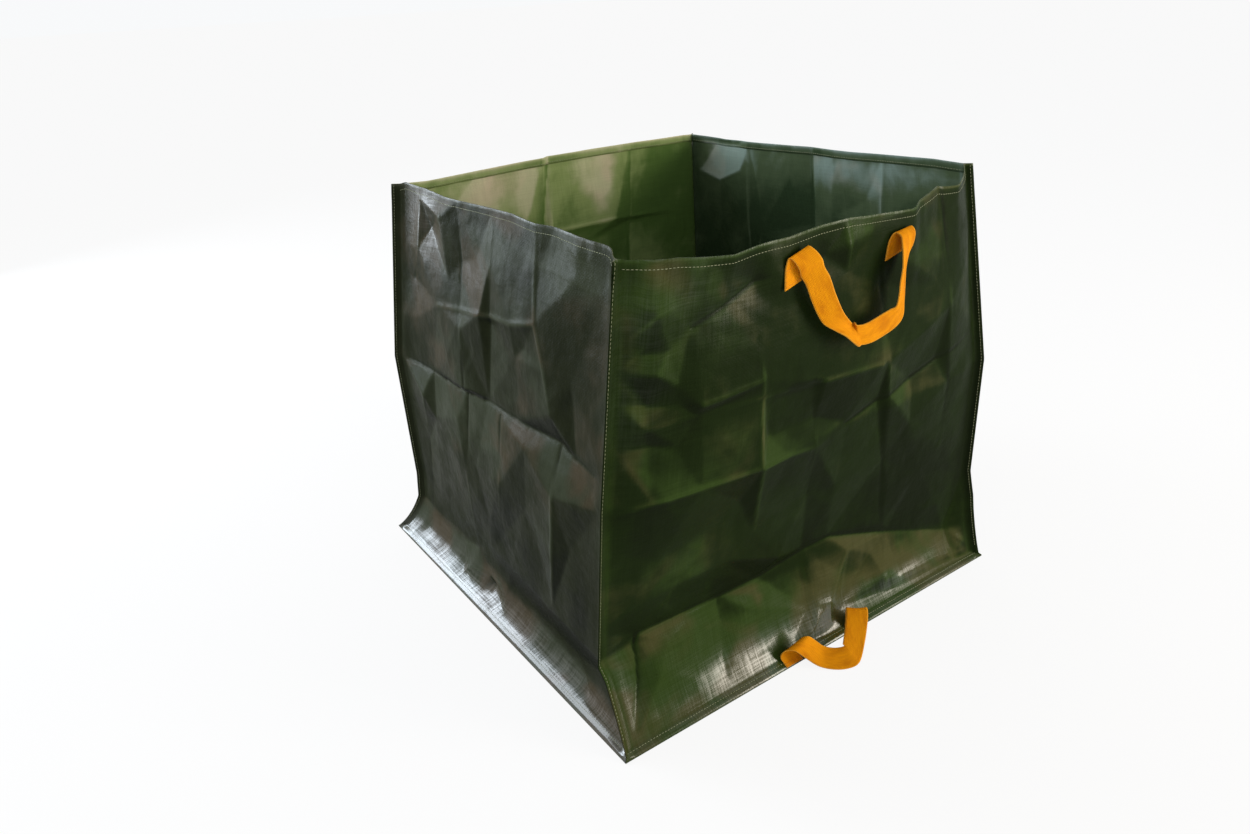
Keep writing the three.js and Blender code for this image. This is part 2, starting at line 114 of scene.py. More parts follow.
# Places on a wall are shares across it and heights. For each wall:
#   corners            the corners it runs between
#   bow, dip, lift     how far its mouth bows out and sags, and how high its seam is lifted
#   slack, crushed     how deep its facets are, and its crumples at the foot and the rim
#   painted_tilt_shade how much paler or darker a facet is painted for its tilt: painted light and
#   shade
#   sewn               places where a strap holds it flat
#   foot               (share, height, fall) of the spreading foot
#   rim                (share, how far the rim wanders outwards and down)
#   creases            lines of (share, height, how far it stands out)
#   wear_and_shade, polished
#                      patches (share, height, half width as a share, half height, amount) of
#                      rubbed cloth, also painted light and shade, and of shining film, with
#                      their own lists for the inside
#   seam_polish        film on the base allowance
CARRY_ENDS = [(0.36, 584), (0.655, 584)]
WALLS = {
    "front_wall": {
        "corners": (0, 1), "bow": 44.0, "dip": 17.0, "lift": 5.5,
        "slack": 1.3, "crushed": 1.1, "painted_tilt_shade": -1.7, "sewn": CARRY_ENDS,
        "foot": [(0, 85, 160), (0.08, 118, 60), (0.28, 121, 44), (0.38, 124, 40), (0.5, 138, 40),
                 (0.57, 142, 40), (0.75, 104, 36), (0.94, 66, 45), (1, 150, 300)],
        "rim": [(0, -1), (0.1, -8), (0.21, -1), (0.27, -4.3), (0.31, -5.2), (0.35, -4.4),
                (0.44, -7.2), (0.52, -6.6), (0.577, -2), (0.62, 1.1), (0.68, 5), (0.707, 6.7),
                (0.721, 5.6), (0.743, -1.2), (0.787, -5.7), (0.828, -9.9), (0.84, -6.6),
                (0.902, 3.3), (1, 0)],
        "creases": [
            [(0, 321, 0), (0.08, 331, 3.5), (0.182, 332, 5), (0.322, 326, 7), (0.395, 326, 4),
             (0.471, 318, 2), (0.56, 334, -3), (0.652, 348, -5), (0.75, 360, -6), (0.834, 373, -5),
             (1, 388, 0)],
            [(0, 415, 0), (0.059, 424, 1.5), (0.161, 432, 1), (0.306, 425, 2.5), (0.471, 414, 3.5),
             (0.64, 405, 2.5)],
            [(0.285, 500, -1), (0.301, 448, 3), (0.306, 425, 2.5), (0.322, 326, 7), (0.34, 220, 1)],
            [(0.447, 419, 3), (0.46, 365, -1.5), (0.471, 318, 2), (0.48, 240, -1)],
            [(0.6, 590, 1), (0.621, 516, -2), (0.66, 405, 1.5), (0.70, 240, -2), (0.731, 121, -1)],
            [(0.511, 603, 1), (0.514, 577, 4), (0.516, 545, 0)],
            [(0.835, 603, -2), (0.849, 564, -4), (0.86, 450, 2), (0.877, 330, -2), (0.885, 220, 1)],
            [(0.137, 533, -4), (0.21, 552, -5), (0.277, 566, -6), (0.363, 566, -4),
             (0.455, 570, -2)],
            [(0.158, 442, 4), (0.301, 448, 3)],
            [(0, 113, 0), (0.08, 125, -3), (0.28, 121, -6), (0.38, 124, -6), (0.5, 138, -5),
             (0.57, 142, -4), (0.75, 104, -3), (0.94, 58, -1)],
            [(0.484, 45, 0), (0.51, 50, 4), (0.545, 46, 6), (0.581, 27, -1)],
            [(0.545, 46, 6), (0.532, 12, 2)],
            [(0.493, 26, 5), (0.51, 50, 4)],
            [(0.72, 36, 4), (0.704, 12, 0)],
            [(0.764, 24, 3), (0.74, 6, 0)],
            [(0.808, 26, 3), (0.79, 6, 0)],
            [(0.94, 58, -1), (0.976, 34, 3), (1, 14, 0)],
            [(0.924, 22, 3), (0.94, 58, -1)],
            [(0.012, 4, 0), (0.058, 57, -5), (0.08, 125, -5)],
            [(0.02, 4, 0), (0.102, 65, 4), (0.14, 100, 2)],
            [(0.012, 519, 0), (0.064, 550, 2), (0.1, 556, 0)],
            [(0.012, 500, 0), (0.05, 510, -2.5), (0.09, 512, -1)],
            [(0.014, 488, 0), (0.071, 486, 2.5), (0.112, 470, 0)],
            [(0.01, 455, 0), (0.06, 452, -2.5), (0.12, 448, 0)],
            [(0.008, 401, 0), (0.07, 404, -1.5), (0.125, 396, 0)],
        ],
        "wear_and_shade": [(0.1, 560, 0.14, 45, 0.12), (0.035, 60, 0.022, 50, 0.35),
                 (0.2, 470, 0.1, 60, -0.25), (0.2, 345, 0.2, 50, 0.15), (0.27, 390, 0.1, 55, 0.12),
                 (0.42, 470, 0.06, 90, -0.1), (0.5, 350, 0.12, 60, -0.12),
                 (0.2, 215, 0.22, 85, 0.36), (0.9, 400, 0.1, 110, -0.1),
                 (0.88, 540, 0.12, 60, -0.15), (0.99, 300, 0.035, 330, -0.35),
                 (0.85, 170, 0.16, 80, -0.35), (0.34, 34, 0.2, 34, 0.5), (0.53, 30, 0.05, 26, 0.6)],
        "wear_and_shade_inside": [(0.5, 560, 0.5, 60, 0.1)],
        "polished": [(0.36, 20, 0.16, 22, 1.1), (0.53, 28, 0.04, 22, 1.6),
                     (0.74, 22, 0.09, 14, 0.6), (0.13, 560, 0.13, 40, 0.14),
                     (0.05, 470, 0.05, 80, 0.08), (0.04, 60, 0.02, 50, 0.2)],
        "polished_inside": [],
        "seam_polish": 0.25,
    },
    "right_wall": {
        "corners": (1, 2), "bow": 4.0, "dip": 0.0, "lift": 5.0,
        "slack": 1.8, "crushed": 1.1, "painted_tilt_shade": -2.2, "sewn": [],
        "foot": [(0, 150, 300), (0.1, 110, 60), (0.25, 80, 30), (0.7, 90, 30), (1, 70, 45)],
        "rim": [(0, 0), (0.086, -2.4), (0.362, 3.1), (0.517, 2.1), (0.709, 5.1), (0.869, 7.6),
                (1, 0)],
        "creases": [
            [(0, 352, 0), (0.2, 345, -4), (0.45, 350, -6), (0.72, 340, -5), (1, 344, 0)],
            [(0.25, 602, 0), (0.262, 480, -3), (0.27, 345, -5), (0.26, 150, 0)],
            [(0.5, 602, 2), (0.507, 480, 4), (0.5, 350, -6), (0.51, 180, 3)],
            [(0.76, 602, 0), (0.75, 470, -3), (0.74, 340, -5), (0.76, 120, -2)],
            [(0.98, 600, 2), (0.9, 598, 4.5), (0.8, 600, 3)],
            [(0.96, 545, -2), (0.87, 535, -4), (0.79, 555, -2)],
        ],
        "wear_and_shade": [(0.3, 500, 0.2, 80, 0.2), (0.7, 200, 0.3, 90, -0.2)],
        "wear_and_shade_inside": [(0.84, 583, 0.07, 28, 0.8), (0.35, 575, 0.35, 30, 0.45),
                        (0.55, 420, 0.4, 90, -0.35)],
        "polished": [],
        "polished_inside": [(0.85, 583, 0.09, 30, 1.6), (0.3, 580, 0.35, 24, 0.35)],
        "seam_polish": 0.2,
    },
    "back_wall": {
        "corners": (2, 3), "bow": 8.0, "dip": 2.0, "lift": 5.0,
        "slack": 1.8, "crushed": 1.1, "painted_tilt_shade": -2.8, "sewn": CARRY_ENDS,
        "foot": [(0, 70, 45), (0.2, 95, 30), (0.8, 85, 30), (1, 64, 70)],
        "rim": [(0, -1), (0.211, -5.7), (0.403, -7.4), (0.555, -5.7), (0.764, -0.2), (0.916, 3.9),
                (1, 0)],
        "creases": [
            [(0, 340, 0), (0.25, 346, 4), (0.52, 338, 5), (0.8, 350, 4), (1, 338, 0)],
            [(0.24, 602, 0), (0.25, 470, 3), (0.25, 346, 4), (0.26, 150, 1)],
            [(0.535, 603, 3), (0.53, 480, -3), (0.52, 338, 5), (0.53, 160, -2)],
            [(0.555, 603, -2), (0.552, 480, 2), (0.545, 380, 0)],
            [(0.76, 603, 0), (0.77, 470, -3), (0.8, 350, 4), (0.78, 140, -1)],
            [(0.06, 470, 0), (0.3, 480, -3), (0.53, 480, -3), (0.77, 470, -3), (0.95, 476, 0)],
        ],
        "wear_and_shade": [(0.5, 560, 0.4, 60, 0.25), (0.8, 540, 0.15, 70, 0.3), (0.2, 300, 0.3, 90, -0.2)],
        "wear_and_shade_inside": [(0.78, 570, 0.2, 70, 0.55), (0.745, 585, 0.02, 60, 0.5),
                        (0.6, 585, 0.035, 90, 0.6), (0.35, 560, 0.05, 80, 0.7),
                        (0.42, 570, 0.03, 60, 0.4), (0.5, 540, 0.05, 70, -0.15),
                        (0.12, 560, 0.1, 50, -0.25), (0.2, 470, 0.2, 50, -0.3),
                        (0.06, 430, 0.1, 90, -0.3)],
        "polished": [],
        "polished_inside": [(0.8, 560, 0.1, 50, 0.5), (0.62, 560, 0.05, 60, 0.5),
                            (0.32, 560, 0.05, 60, 0.5)],
        "seam_polish": 0.2,
    },
    "left_wall": {
        "corners": (3, 0), "bow": -8.0, "dip": -4.0, "lift": 7.5,
        "slack": 1.0, "crushed": 1.7, "painted_tilt_shade": 1.0, "sewn": [],
        "foot": [(0, 64, 70), (0.08, 60, 26), (0.28, 71, 24), (0.5, 67, 23), (0.7, 62, 22),
                 (0.86, 63, 26), (1, 85, 160)],
        "rim": [(0, -4.5), (0.154, -0.5), (0.256, 3.7), (0.44, -0.4), (0.581, -3.3), (0.689, -1),
                (0.748, -3.8), (0.823, -5), (0.897, -5.9), (0.96, -8.6), (1, -6)],
        "creases": [
            [(0, 332, 0), (0.09, 333, -4), (0.181, 334, -5), (0.485, 347, -7), (0.633, 351, -6),
             (0.811, 361, -7), (0.872, 356, -5), (1, 361, 0)],
            [(0.695, 603, 0), (0.703, 549, 2), (0.717, 492, 4), (0.757, 443, 3), (0.79, 392, 1),
             (0.811, 361, -7), (0.816, 293, 4), (0.814, 207, 4), (0.80, 121, 1)],
            [(0.25, 603, 0), (0.247, 575, 4), (0.158, 551, -4), (0.115, 520, 3), (0.074, 468, -2)],
            [(0.158, 551, -4), (0.125, 590, 3)],
            [(0.33, 603, 1), (0.34, 520, -3), (0.36, 430, 2), (0.38, 342, -6), (0.37, 200, 2),
             (0.38, 80, 0)],
            [(0.5, 603, -1), (0.51, 540, 3), (0.5, 460, -2)],
            [(0.72, 560, 1), (0.86, 560, 3), (0.967, 553, 0)],
            [(0.76, 603, -1), (0.862, 586, 3), (0.967, 553, 0)],
            [(0.237, 448, 3), (0.466, 467, 4), (0.612, 476, 4), (0.717, 492, 4)],
            [(0.02, 328, 0), (0.138, 290, 4), (0.10, 200, -2), (0.067, 59, 0)],
            [(0.03, 188, 0), (0.10, 200, -2)],
            [(0.55, 340, -5), (0.56, 240, 2), (0.53, 140, -1)],
            [(0.305, 10, 0), (0.34, 30, 5), (0.43, 45, 1)],
            [(0.407, 12, 0), (0.44, 30, -4), (0.498, 35, 2)],
        ],
        "wear_and_shade": [(0.18, 560, 0.1, 40, 0.35), (0.42, 540, 0.24, 60, 0.15), (0.86, 570, 0.1, 30, 0.2),
                 (0.88, 470, 0.1, 70, -0.15), (0.63, 540, 0.09, 60, -0.25),
                 (0.66, 310, 0.08, 70, -0.2), (0.35, 330, 0.12, 60, 0.2), (0.4, 300, 0.3, 36, 0.2),
                 (0.6, 150, 0.16, 90, -0.3), (0.92, 170, 0.07, 110, -0.25),
                 (0.15, 240, 0.1, 60, 0.1), (0.5, 20, 0.6, 34, 0.6)],
        "wear_and_shade_inside": [(0.5, 560, 0.5, 60, 0.1)],
        "polished": [(0.17, 560, 0.05, 34, 0.5), (0.6, 8, 0.7, 15, 0.9), (0.5, 30, 0.7, 24, 0.2)],
        "polished_inside": [],
        "seam_polish": 1.2,
    },
}
CREASE_DEPTH, FULL_PRESS = 1.5, 4
# Facets between the creases: their spacing, how far they keep from a drawn point, the spacing and
# depth of the smaller ones, and how far a point strays as a share of the spacing
FACET_SPACING, FACET_CLEARANCE = 88, 34
SMALL_FACETS, CRUMPLES, STRAY = (34, 0.55), (17, 0.45), 0.38
# Where the cloth is crushed, as height, half height and amount, and how crumpled it is elsewhere
CRUSHED_FOOT, CRUSHED_RIM, CRUMPLED_ALL_OVER = (6, 20, 1), (590, 40, 0.35), 0.2
# Each crease is pressed sharp, with a fine ridge or groove along it. Its tone is painted light and
# shade: paler on a ridge, darker in a groove. Last, the most tone painted for a facet's tilt
PRESSED_WIDTH, PRESSED_HEIGHT, PRESSED_LINE_SHADING, MOST_TILT_SHADING = 3.0, 0.9, 0.4, 0.15
# How far from a seam, the foot and a sewn strap the cloth starts to leave its plain form
CORNER_HOLD, FOOT_HOLD, STRAP_HOLD = 30, 16, (22, 60)


def blurred(field, passes):
    for _ in range(passes):
        padded = np.pad(field, 1, mode="edge")
        field = (padded[:-2, 1:-1] + padded[2:, 1:-1] + padded[1:-1, :-2] + padded[1:-1, 2:]
                 + 4 * padded[1:-1, 1:-1]) / 8
    return field


# How far past its edges a facet still counts, and the least area and length that are not nothing
EDGE_SLACK, NOTHING = 1e-6, 1e-9


def facets(points, across, up, blur_passes):
    """Heights over a grid from scattered (x, z, height) points joined into flat facets."""
    corners_2d = [Vector((p[0], p[1])) for p in points["places"]]
    made = delaunay_2d_cdt(corners_2d, points["edges"], [], 0, 1e-3)
    places, faces, sources = made[0], made[2], made[3]
    levels = [points["places"][source[0]][2] if source else 0.0 for source in sources]
    field = np.zeros((len(up), len(across)))
    for face in faces:
        (ax, az), (bx, bz), (cx, cz) = (places[i] for i in face)
        columns, rows = (
            slice(*np.searchsorted(line, (min(ends) - EDGE_SLACK, max(ends) + EDGE_SLACK)))
            for line, ends in ((across, (ax, bx, cx)), (up, (az, bz, cz))))
        x, z = np.meshgrid(across[columns], up[rows])
        area = (bx - ax) * (cz - az) - (cx - ax) * (bz - az)
        if abs(area) < NOTHING or x.size == 0:
            continue
        b = ((x - ax) * (cz - az) - (cx - ax) * (z - az)) / area
        c = ((bx - ax) * (z - az) - (x - ax) * (bz - az)) / area
        a = 1 - b - c
        inside = np.minimum(np.minimum(a, b), c) >= -EDGE_SLACK
        level = a * levels[face[0]] + b * levels[face[1]] + c * levels[face[2]]
        field[rows, columns][inside] = level[inside]
    return blurred(field, blur_passes)


def crumple(width, height, spacing, depth, rng):
    """Scattered points for facets of about one size, in and just past a sheet."""
    columns, rows = max(2, round(width / spacing)), max(2, round(height / spacing))
    places = []
    for j in range(-1, rows + 2):
        for i in range(-1, columns + 2):
            x = (i + rng.uniform(-STRAY, STRAY)) * width / columns
            z = (j + rng.uniform(-STRAY, STRAY)) * height / rows
            places.append((x, z, rng.uniform(-depth, depth)))
    return {"places": places, "edges": []}


def relief(wall, shares, heights, seed):
    """How far a wall's cloth stands out of its plain form, and the light and shade painted for
    that.
    """
    rng = np.random.default_rng(seed)
    width = 2 * WAIST_HALF
    across = shares * width
    drawn = {"places": [], "edges": []}
    for crease in wall["creases"]:
        for k, (share, z, level) in enumerate(crease):
            drawn["places"].append((share * width, z, level * CREASE_DEPTH))
            if k:
                drawn["edges"].append((len(drawn["places"]) - 2, len(drawn["places"]) - 1))
    placed = np.array([p[:2] for p in drawn["places"]])
    for x, z, level in crumple(width, BAG_HEIGHT, FACET_SPACING, wall["slack"], rng)["places"]:
        if np.hypot(*(placed - (x, z)).T).min() > FACET_CLEARANCE:
            drawn["places"].append((x, z, level))
    field = facets(drawn, across, heights, 1)
    field += facets(crumple(width, BAG_HEIGHT, *SMALL_FACETS, rng), across, heights, 1)
    fine = facets(crumple(width, BAG_HEIGHT, *CRUMPLES, rng), across, heights, 2)
    x, z = np.meshgrid(shares, heights)
    crushed = sum(amount * np.exp(-((z - height) / half) ** 2)
                  for height, half, amount in (CRUSHED_FOOT, CRUSHED_RIM))
    field += fine * (CRUMPLED_ALL_OVER + wall["crushed"] * crushed)

    pressed = np.zeros(field.shape)
    for crease in wall["creases"]:
        for (share_a, z_a, level_a), (share_b, z_b, level_b) in zip(crease, crease[1:]):
            run = np.array([(share_b - share_a) * width, z_b - z_a])
            t = ((x * width - share_a * width) * run[0] + (z - z_a) * run[1]) / (run @ run)
            t = np.clip(t, 0, 1)
            away = np.hypot(x * width - share_a * width - t * run[0], z - z_a - t * run[1])
            level = level_a + (level_b - level_a) * t
            line = np.clip(level / FULL_PRESS, -1, 1) * np.exp(-(away / PRESSED_WIDTH) ** 2)
            pressed = np.where(np.abs(line) > np.abs(pressed), line, pressed)
    field += pressed * PRESSED_HEIGHT

    from_corner = np.minimum(x, 1 - x) * width
    held = smooth(from_corner, 0, CORNER_HOLD) * smooth(z, SEAM_HEIGHT, SEAM_HEIGHT + FOOT_HOLD)
    for share, height in wall["sewn"]:
        held *= smooth(np.hypot((x - share) * width, z - height), *STRAP_HOLD)
    # Painted light and shade: a facet is painted paler or darker as it tilts to one side
    tilt_shading = wall["painted_tilt_shade"] * np.gradient(field, across, axis=1)
    tilt_shading = np.clip(tilt_shading, -MOST_TILT_SHADING, MOST_TILT_SHADING)
    return field * held, (PRESSED_LINE_SHADING * pressed + tilt_shading) * held


def wall_shape(wall, shares, heights, stand_out=0.0):
    """The cloth's middle surface over a grid, with its outward direction seen from above."""
    start, end = wall["corners"]
    x, z = np.meshgrid(shares, heights)
    sideways = [np.array([-fin_direction(c)[1], fin_direction(c)[0]]) for c in (start, end)]
    a = corner_at(start, z) + sideways[0] * seam_stand(z)[..., None]
    b = corner_at(end, z) - sideways[1] * seam_stand(z)[..., None]
    along = (b - a) / np.linalg.norm(b - a, axis=-1, keepdims=True)
    outward = np.stack([along[..., 1], -along[..., 0]], -1)
    arch = 1 - (2 * x - 1) ** MOUTH_SQUARENESS
    climb = smooth(z, FOOT_HEIGHT, BAG_HEIGHT)
    wander = np.interp(x, *zip(*wall["rim"])) * RIM_WANDER
    wander = wander * smooth(np.minimum(x, 1 - x), 0, RIM_END)
    above_fold = np.clip((z - FOLD_HEIGHT) / (TOP_OF_CLOTH - FOLD_HEIGHT), 0, 1.1)
    wander = wander * above_fold ** WANDER_FALL
    where, foot_height, foot_fall = zip(*wall["foot"])
    foot = foot_spread(z, np.interp(x, where, foot_height), np.interp(x, where, foot_fall))
    foot -= foot_spread(z, *CORNERS[start][4]) * (1 - x) + foot_spread(z, *CORNERS[end][4]) * x
    out = wall["bow"] * arch * climb + wander + foot + stand_out
    rise = CORNERS[start][3] * (1 - x) + CORNERS[end][3] * x
    place = a + (b - a) * x[..., None] + outward * out[..., None]
    lifts = (CORNER_LIFT, wall["lift"], wall["lift"], CORNER_LIFT)
    lifted = np.interp(x, LIFT_SHARES, lifts) * np.exp(-(z - SEAM_HEIGHT) / LIFT_FALL)
    return np.dstack([place, z + climb * (rise - wall["dip"] * arch) - wander + lifted]), outward


# A layer is no longer kept even where the mean of two tangents is shorter than this
SHARPEST_BEND = 0.6


def grid_normals(grid):
    """Unit normals of a grid of points, and how much an even layer widens at its bends."""

    def tangents(axis):
        steps = np.diff(grid, axis=axis)
        steps /= np.maximum(NOTHING, np.linalg.norm(steps, axis=-1, keepdims=True))
        first = np.concatenate([np.take(steps, [0], axis), steps], axis)
        last = np.concatenate([steps, np.take(steps, [-1], axis)], axis)
        mean = (first + last) / 2
        length = np.linalg.norm(mean, axis=-1, keepdims=True)
        return mean / np.maximum(NOTHING, length), 1 / np.maximum(SHARPEST_BEND, length)

    (along, wide_a), (rising, wide_b) = tangents(1), tangents(0)
    normal = np.cross(along, rising)
    normal /= np.maximum(NOTHING, np.linalg.norm(normal, axis=-1, keepdims=True))
    return normal, wide_a * wide_b


def add_object(name, data):
    made = bpy.data.objects.new(name, data)
    bpy.context.scene.collection.objects.link(made)
    return made


def sheet_mesh(name, grid, thickness, masks=None):
    """A closed sheet of even thickness from a grid of middle points in millimetres.

    Its outer face has the first material and its inner face the second. A mask gives a value for
    each of the two faces at each point."""
    rows, columns = grid.shape[:2]
    normal, widening = grid_normals(grid)
    offset = normal * widening * thickness / 2
    points = np.concatenate([(grid + offset).reshape(-1, 3), (grid - offset).reshape(-1, 3)]) / 1000
    index = np.arange(rows * columns).reshape(rows, columns)
    quads = (index[:-1, :-1], index[:-1, 1:], index[1:, 1:], index[1:, :-1])
    back = rows * columns
    outer = np.stack([corner.ravel() for corner in quads], 1)
    inner = outer[:, ::-1] + back
    rim = np.concatenate([index[0, :], index[1:, -1], index[-1, -2::-1], index[-2:0:-1, 0]])
    following = np.roll(rim, -1)
    edge = np.stack([rim + back, following + back, following, rim], 1)
    faces = np.concatenate([outer, inner, edge])

    mesh = bpy.data.meshes.new(name)
    mesh.from_pydata(points.tolist(), [], faces.tolist())
    mesh.polygons.foreach_set("use_smooth", np.arange(len(faces)) < 2 * len(outer))
    in_inner = np.arange(len(faces)) // len(outer) == 1
    mesh.polygons.foreach_set("material_index", in_inner.astype(int))
    for label, faces_values in (masks or {}).items():
        values = mesh.attributes.new(label, "FLOAT", "POINT")
        both = np.concatenate([side.ravel() for side in faces_values])
        values.data.foreach_set("value", both.astype(np.float32))
    steps = [np.linalg.norm(np.diff(grid, axis=axis), axis=-1) for axis in (1, 0)]
    uv_across = np.concatenate([np.zeros((rows, 1)), np.cumsum(steps[0], 1)], 1)
    uv_along = np.concatenate([np.zeros((1, columns)), np.cumsum(steps[1], 0)], 0)
    flat = np.stack([uv_across, uv_along], -1).reshape(-1, 2) / 1000
    layer = mesh.uv_layers.new(name="cloth")
    layer.data.foreach_set("uv", flat[faces.ravel() % back].ravel())
    mesh.validate()
    mesh.update()
    return add_object(name, mesh)


# Cloth that faces up is dusty and painted paler as light from above, and cloth that bends more
# sharply than around it has gone pale
TOP_DUST_AND_LIGHT, PALE_BEND, LEAST_BEND, AROUND = 1.5, 5, 0.1, 10
# The rim's top rows are paler, as rubbing and as a painted highlight along the folded edge, and
# shine more
RIM_RUB_AND_HIGHLIGHT, RIM_POLISH, RIM_ROWS = 0.5, 0.25, 3


def patches(areas, shares, heights):
    made = np.zeros((heights.shape[0], shares.shape[1]))
    for share, height, wide, high, amount in areas:
        made += amount * np.exp(-((shares - share) / wide) ** 2 - ((heights - height) / high) ** 2)
    return made


def wear(wall, grid, first_row, hem_rows, tone):
    """Each face's dust, wear and painted light and shade, where it is creased and where it shines.
    """
    normal, _ = grid_normals(grid)
    # Facing up, the cloth is painted paler as well as dustier: painted light from above
    facing_up = TOP_DUST_AND_LIGHT * blurred(normal[..., 2], 3)
    shares = np.linspace(0, 1, grid.shape[1])[None, :]
    heights = np.linspace(SEAM_HEIGHT, TOP_OF_CLOTH, WALL_ROWS)
    places = shares, np.concatenate([
        np.full(first_row, SEAM_HEIGHT), heights, np.full(len(FOLD_ANGLES), BAG_HEIGHT),
        heights[hem_rows]])[:, None]
    top_row = first_row + WALL_ROWS
    at_rim = (np.abs(np.arange(len(grid)) - top_row - 1) < RIM_ROWS)[:, None]
    # The patches, the tone of creases and tilts and the rim's rows add painted light and shade to
    # the wear
    rubbed_and_shading = patches(wall["wear_and_shade"], *places) + tone + RIM_RUB_AND_HIGHLIGHT * at_rim
    rubbed_and_shading_inside = patches(wall["wear_and_shade_inside"], *places) - tone
    polished = patches(wall["polished"], *places)
    polished[:first_row] += wall["seam_polish"]
    polished[top_row - 1:top_row + RIM_ROWS] += RIM_POLISH
    around = np.stack([blurred(normal[..., k], AROUND) for k in range(3)], -1)
    bend = np.clip(np.linalg.norm(normal - around, axis=-1) * PALE_BEND - LEAST_BEND, 0, 1)
    return {"dust_and_shading": (0.5 + np.clip(facing_up, -0.4, 0.5) + rubbed_and_shading,
                      0.5 - np.clip(facing_up, -0.5, 0.4) + rubbed_and_shading_inside),
            "creased": (bend, bend),
            "polished": (polished, patches(wall["polished_inside"], *places))}


def wall_grid(wall, seed):
    """Rows: base allowance, wall, hem fold, hem's inner leg. Columns: fin, wall, fin."""
    shares = np.linspace(FIRST_COLUMN, 1 - FIRST_COLUMN, WALL_COLUMNS - 1)
    shares = np.concatenate([[0], shares, [1]])
    heights = np.linspace(SEAM_HEIGHT, TOP_OF_CLOTH, WALL_ROWS)
    out, tone = relief(wall, shares, heights, seed)
    face, outward = wall_shape(wall, shares, heights, out)
    start, end = wall["corners"]
    fins = []
    for corner, seam in ((start, face[:, 0]), (end, face[:, -1])):
        way = np.append(fin_direction(corner), 0)
        fins.append([seam + way * ALLOWANCE * share for share in ALLOWANCE_SHARES])
    grid = np.stack([*fins[0], *face.transpose(1, 0, 2), *fins[1][::-1]], 1)

    # The hem turns inwards over the top and its leg follows the face down inside
    inward = np.zeros_like(grid)
    inward[:, 3:-3, :2] = -outward
    for columns, corner, sign in ((slice(0, 3), start, 1), (slice(-3, None), end, -1)):
        way = fin_direction(corner)
        inward[:, columns, :2] = np.array([way[1], -way[0]]) * sign
    for column, other in ((3, 2), (-4, -3)):
        inward[:, column] = inward[:, column] + inward[:, other]
        inward[:, column] /= np.linalg.norm(inward[:, column], axis=-1, keepdims=True)
    turned = []
    for angle in np.radians(FOLD_ANGLES):
        turned.append(grid[-1] + inward[-1] * LAYER_PITCH / 2 * (1 - math.cos(angle))
                      + np.array([0, 0, LAYER_PITCH / 2 * math.sin(angle)]))
    hem_rows = [row for row in range(WALL_ROWS - 2, 0, -1) if heights[row] > HEM_BOTTOM - 1]
    leg = [grid[row] + inward[row] * LAYER_PITCH for row in hem_rows]

    # The base allowance lies flat outwards, mitred at the corners
    seam = grid[0]
    along = corner_at(end, np.array(SEAM_HEIGHT)) - corner_at(start, np.array(SEAM_HEIGHT))
    along = along / np.linalg.norm(along)
    away = np.array([along[1], -along[0], 0])
    edge = seam + away * ALLOWANCE
    edge[:, 2] = SEAM_HEIGHT
    mitre = np.array(MITRE_SHARES)[:, None] * np.array([along[0], along[1], 0]) * ALLOWANCE
    edge[:4] = edge[3] - mitre
    edge[-4:] = edge[-4] + mitre[::-1]
    allowance = [seam + (edge - seam) * share for share in ALLOWANCE_SHARES]
    tone = np.pad(tone, ((len(allowance), len(turned) + len(leg)), (3, 3)), mode="edge")
    return np.stack([*allowance, *grid, *turned, *leg]), len(allowance), hem_rows, tone


class Nodes:
    """Adds and joins the nodes of one tree."""

    def __init__(self, tree):
        self.tree = tree

    def feed(self, made, inputs):
        for name, value in inputs.items():
            if isinstance(value, bpy.types.NodeSocket):
                self.tree.links.new(value, made.inputs[name])
            else:
                made.inputs[name].default_value = value

    def add(self, kind, inputs=None, **settings):
        made = self.tree.nodes.new(kind)
        for name, value in settings.items():
            setattr(made, name, value)
        self.feed(made, inputs or {})
        return made

    def maths(self, operation, a, b=0.0, clamp=False):
        made = self.add("ShaderNodeMath", {0: a, 1: b}, operation=operation, use_clamp=clamp)
        return made.outputs[0]

    def plus(self, a, b):
        return self.maths("ADD", a, b)

    def times(self, a, b):
        return self.maths("MULTIPLY", a, b)

    def total(self, first, *terms):
        """A value plus each of the terms, which are a value and how many times it counts."""
        for value, amount in terms:
            first = self.plus(first, self.times(value, amount))
        return first

    def mix(self, share, a, b):
        return self.add("ShaderNodeMix", {"Factor": share, 6: a, 7: b}, data_type="RGBA").outputs[2]

    def noise(self, vector, scale, detail, roughness=0.5, distortion=0.0):
        return self.add("ShaderNodeTexNoise", {
            "Vector": vector, "Scale": scale, "Detail": detail, "Roughness": roughness,
            "Distortion": distortion}).outputs["Fac"]

    def attribute(self, label):
        return self.add("ShaderNodeAttribute", attribute_name=label).outputs["Fac"]

    def around_half(self, value, amount):
        """A value from 0 to 1 turned into one about nought, of so many times its size."""
        return self.times(self.maths("SUBTRACT", value, 0.5), amount)

    def ramp(self, share, low, high):
        return self.add("ShaderNodeMapRange", {"Value": share, "From Min": low, "From Max": high},
                        interpolation_type="SMOOTHSTEP").outputs[0]


def new_group(name, kind, inputs, outputs):
    """A node group, the nodes of its tree and what is given to them."""
    tree = bpy.data.node_groups.new(name, kind + "NodeTree")
    for way, sockets in (("INPUT", inputs), ("OUTPUT", outputs)):
        for label, socket in sockets.items():
            tree.interface.new_socket(label, in_out=way, socket_type="NodeSocket" + socket)
    nodes = Nodes(tree)
    return tree, nodes, nodes.add("NodeGroupInput").outputs


def streak_noise(nodes, vector, scale, detail):
    mapped = nodes.add("ShaderNodeMapping", {"Vector": vector, "Scale": scale})
    return nodes.noise(mapped.outputs[0], 1.0, detail, 0.6)


